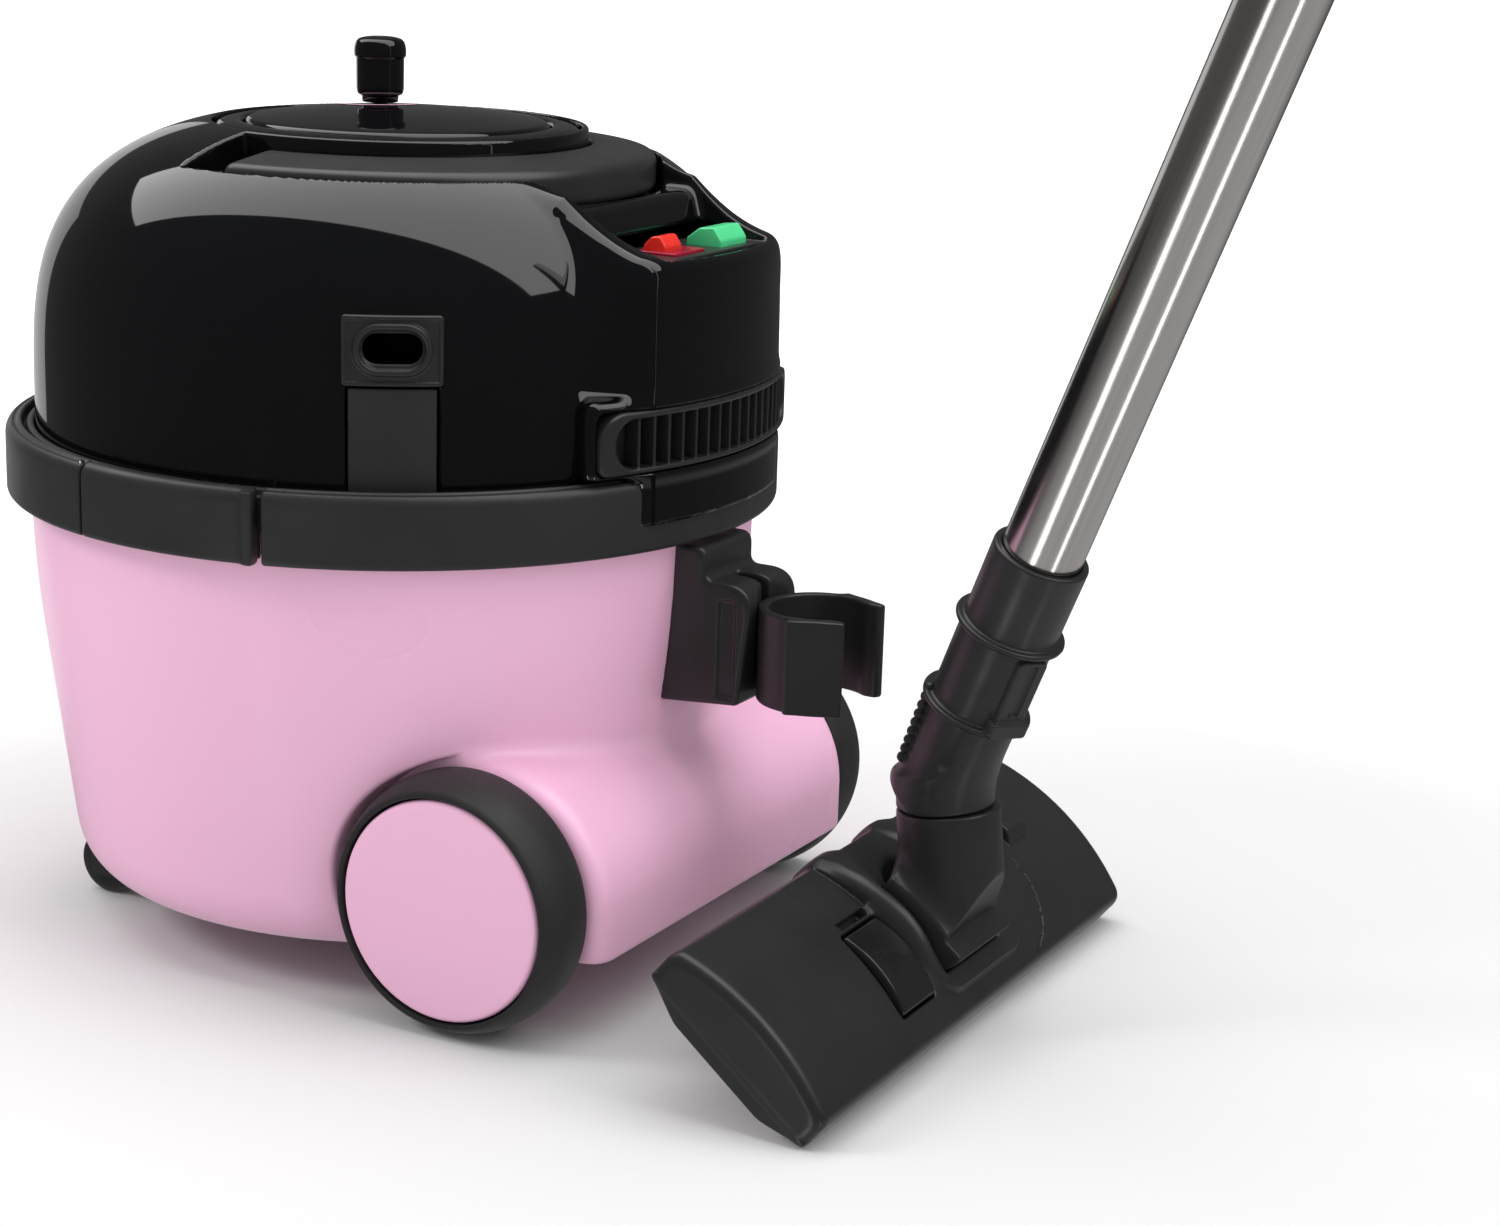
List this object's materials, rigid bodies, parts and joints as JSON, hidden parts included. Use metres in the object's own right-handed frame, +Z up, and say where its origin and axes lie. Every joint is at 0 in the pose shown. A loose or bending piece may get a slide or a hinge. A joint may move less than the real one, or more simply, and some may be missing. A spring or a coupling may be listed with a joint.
{
  "type": "canister vacuum cleaner",
  "caption": "Round-tub canister vacuum cleaner with domed hood, bumper ring, folding handle, rear wheels, front casters, wand clip, floor tool with tilting neck and lower steel wand.",
  "frame": {"origin": "centre of the bounding box on the floor", "axes": "+Z up, -Y towards the front of the cleaner (hose inlet), +Y towards its switches and the floor tool, +X towards its left side"},
  "size_m": [0.32, 0.6436, 0.6151],
  "materials": {
    "pink_plastic": "smooth glossy pink plastic",
    "black_gloss": "polished black plastic",
    "black_matte": "finely grained black plastic",
    "rubber": "matt black rubber",
    "steel": "brushed stainless steel",
    "red_plastic": "translucent red rocker",
    "green_plastic": "translucent green rocker",
    "white_cloth": "white fleece",
    "grey_plastic": "grey moulded plastic",
    "copper": "enamelled copper winding",
    "bristle": "dense black bristle strip"
  },
  "bodies": {
    "tub": {"drum_tub": "pink_plastic", "inlet_collar": "black_matte", "inlet_seal": "rubber", "dust_bag": "white_cloth", "filter_ring": "grey_plastic", "filter_cloth": "white_cloth", "axle_left": "steel", "axle_right": "steel", "dock_bracket": "black_matte", "dock_clip": "black_matte"},
    "wheel_left": {"wheel_left_tyre": "rubber", "wheel_left_hub": "black_matte", "wheel_left_cap": "pink_plastic"},
    "wheel_right": {"wheel_right_tyre": "rubber", "wheel_right_hub": "black_matte", "wheel_right_cap": "pink_plastic"},
    "caster_left": {"caster_left_fork": "black_matte"},
    "caster_left_roll": {"caster_left_wheel": "rubber"},
    "caster_right": {"caster_right_fork": "black_matte"},
    "caster_right_roll": {"caster_right_wheel": "rubber"},
    "head": {"bumper_ring": "black_matte", "latch_left_pin": "steel", "latch_right_pin": "steel", "hood": "black_gloss", "exhaust_grille": "black_matte", "cable_outlet": "black_matte", "cable_strip": "black_matte", "switch_plate": "black_matte", "handle_pin_left": "steel", "handle_pin_right": "steel", "lid_surround": "black_gloss", "motor_deck": "black_matte", "fan_case": "steel", "motor_winding": "copper", "reel_tray": "grey_plastic"},
    "latch_left": {"latch_left": "black_matte"},
    "latch_right": {"latch_right": "black_matte"},
    "handle": {"carry_handle": "black_matte"},
    "reel": {"reel_lid": "black_gloss", "reel_spool": "grey_plastic", "wound_cable": "black_matte"},
    "knob": {"crank_knob": "black_gloss"},
    "red_switch": {"red_switch": "red_plastic"},
    "green_switch": {"green_switch": "green_plastic"},
    "motor_rotor": {"motor_fan": "grey_plastic", "motor_shaft": "steel", "motor_rotor": "steel"},
    "floor_tool": {"tool_cover": "black_matte", "tool_sole": "steel", "knuckle_pin": "steel"},
    "brush_front": {"brush_strip_front": "bristle"},
    "brush_rear": {"brush_strip_rear": "bristle"},
    "brush_pedal": {"brush_pedal": "black_matte"},
    "tool_roller_left": {"tool_roller_left": "grey_plastic"},
    "tool_roller_right": {"tool_roller_right": "grey_plastic"},
    "neck": {"neck_knuckle": "black_matte"},
    "elbow": {"neck_elbow": "black_matte", "neck_socket": "black_matte"},
    "wand": {"wand_tube": "steel"}
  },
  "joints": [
    {"name": "rear_wheel_left_spin", "type": "hinge", "parent": "tub", "child": "wheel_left", "pos_m": [0.118, -0.05084, 0.0515], "axis": [1, 0, 0], "continuous": true},
    {"name": "rear_wheel_right_spin", "type": "hinge", "parent": "tub", "child": "wheel_right", "pos_m": [-0.118, -0.05084, 0.0515], "axis": [1, 0, 0], "continuous": true},
    {"name": "caster_left_swivel", "type": "hinge", "parent": "tub", "child": "caster_left", "pos_m": [0.069, -0.25284, 0.04], "axis": [0, 0, 1], "continuous": true},
    {"name": "caster_left_roll_spin", "type": "hinge", "parent": "caster_left", "child": "caster_left_roll", "pos_m": [0.069, -0.26084, 0.014], "axis": [1, 0, 0], "continuous": true},
    {"name": "caster_right_swivel", "type": "hinge", "parent": "tub", "child": "caster_right", "pos_m": [-0.069, -0.25284, 0.04], "axis": [0, 0, 1], "continuous": true},
    {"name": "caster_right_roll_spin", "type": "hinge", "parent": "caster_right", "child": "caster_right_roll", "pos_m": [-0.069, -0.26084, 0.014], "axis": [1, 0, 0], "continuous": true},
    {"name": "head_lift", "type": "slide", "parent": "tub", "child": "head", "axis": [0, 0, 1], "range_m": [0, 0.15]},
    {"name": "latch_left_open", "type": "hinge", "parent": "head", "child": "latch_left", "pos_m": [0.15155, -0.20245, 0.196], "axis": [0, 0, -1], "range_deg": [0, 35]},
    {"name": "latch_right_open", "type": "hinge", "parent": "head", "child": "latch_right", "pos_m": [-0.15155, -0.20245, 0.196], "axis": [0, 0, 1], "range_deg": [0, 35]},
    {"name": "handle_fold", "type": "hinge", "parent": "head", "child": "handle", "pos_m": [0, -0.16184, 0.315], "axis": [1, 0, 0], "range_deg": [0, 90]},
    {"name": "reel_turn", "type": "hinge", "parent": "head", "child": "reel", "pos_m": [0, -0.16184, 0.326], "axis": [0, 0, 1], "continuous": true},
    {"name": "knob_spin", "type": "hinge", "parent": "reel", "child": "knob", "pos_m": [-0.017, -0.18284, 0.338], "axis": [0, 0, 1], "continuous": true},
    {"name": "red_switch_rock", "type": "hinge", "parent": "head", "child": "red_switch", "pos_m": [0.012, -0.02534, 0.293], "axis": [1, 0, 0], "range_deg": [0, 10]},
    {"name": "green_switch_rock", "type": "hinge", "parent": "head", "child": "green_switch", "pos_m": [-0.024, -0.02534, 0.293], "axis": [1, 0, 0], "range_deg": [0, 10]},
    {"name": "motor_spin", "type": "hinge", "parent": "head", "child": "motor_rotor", "pos_m": [0, -0.16184, 0.206], "axis": [0, 0, 1], "continuous": true},
    {"name": "tool_push", "type": "slide", "parent": "tub", "child": "floor_tool", "axis": [0, 1, 0], "range_m": [0, 0.3]},
    {"name": "brush_front_drop", "type": "slide", "parent": "floor_tool", "child": "brush_front", "axis": [0, -0.6334, -0.7738], "range_m": [0, 0.005]},
    {"name": "brush_rear_drop", "type": "slide", "parent": "floor_tool", "child": "brush_rear", "axis": [0, -0.6334, -0.7738], "range_m": [0, 0.005]},
    {"name": "brush_pedal_rock", "type": "hinge", "parent": "floor_tool", "child": "brush_pedal", "pos_m": [0.0522, 0.09882, 0.03237], "axis": [1, 0, 0], "range_deg": [0, 8]},
    {"name": "tool_roller_left_spin", "type": "hinge", "parent": "floor_tool", "child": "tool_roller_left", "pos_m": [0.09577, 0.0574, 0.04257], "axis": [1, 0, 0], "continuous": true},
    {"name": "tool_roller_right_spin", "type": "hinge", "parent": "floor_tool", "child": "tool_roller_right", "pos_m": [-0.08663, 0.0574, 0.04257], "axis": [1, 0, 0], "continuous": true},
    {"name": "neck_tilt", "type": "hinge", "parent": "floor_tool", "child": "neck", "pos_m": [0.00457, 0.10381, 0.04727], "axis": [1, 0, 0], "range_deg": [-50, 12]},
    {"name": "neck_swivel", "type": "hinge", "parent": "neck", "child": "elbow", "pos_m": [0.00457, 0.09923, 0.08755], "axis": [0, -0.113, 0.9936], "range_deg": [-90, 90]},
    {"name": "wand_pull", "type": "slide", "parent": "elbow", "child": "wand", "axis": [0.107, 0.377, 0.92], "range_m": [0, 0.06]}
  ],
  "couplings": [
    {"joint": "brush_front_drop", "follows": "brush_pedal_rock", "m_per_rad": 0.035774},
    {"joint": "brush_rear_drop", "follows": "brush_pedal_rock", "m_per_rad": 0.035774}
  ]
}
